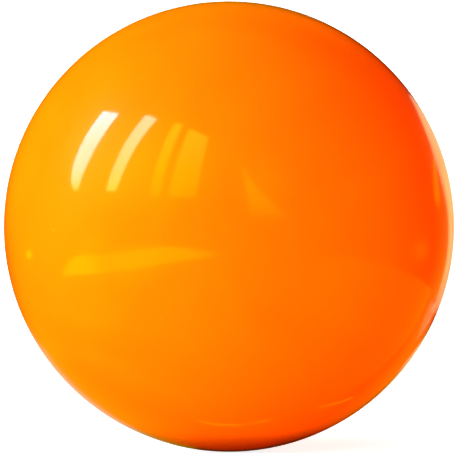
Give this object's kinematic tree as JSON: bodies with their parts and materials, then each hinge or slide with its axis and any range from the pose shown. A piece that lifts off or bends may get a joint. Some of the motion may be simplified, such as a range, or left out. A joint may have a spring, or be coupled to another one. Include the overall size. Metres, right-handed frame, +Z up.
{
  "type": "pickleball ball",
  "caption": "Smooth, glossy hollow court ball of pickleball size, moulded as half shells joined at a welded tongue-and-groove rim.",
  "frame": {"origin": "centre of the ball", "axes": "+Y along the mould axis, from the front half shell to the rear half shell; +Z up; the shells meet in the XZ plane"},
  "size_m": [0.074, 0.074, 0.074],
  "materials": {
    "shell_plastic": "gloss",
    "weld_plastic": "satin"
  },
  "bodies": {
    "root": {"front_half_shell": "shell_plastic", "rear_half_shell": "shell_plastic", "weld_bead": "weld_plastic"}
  },
  "joints": []
}
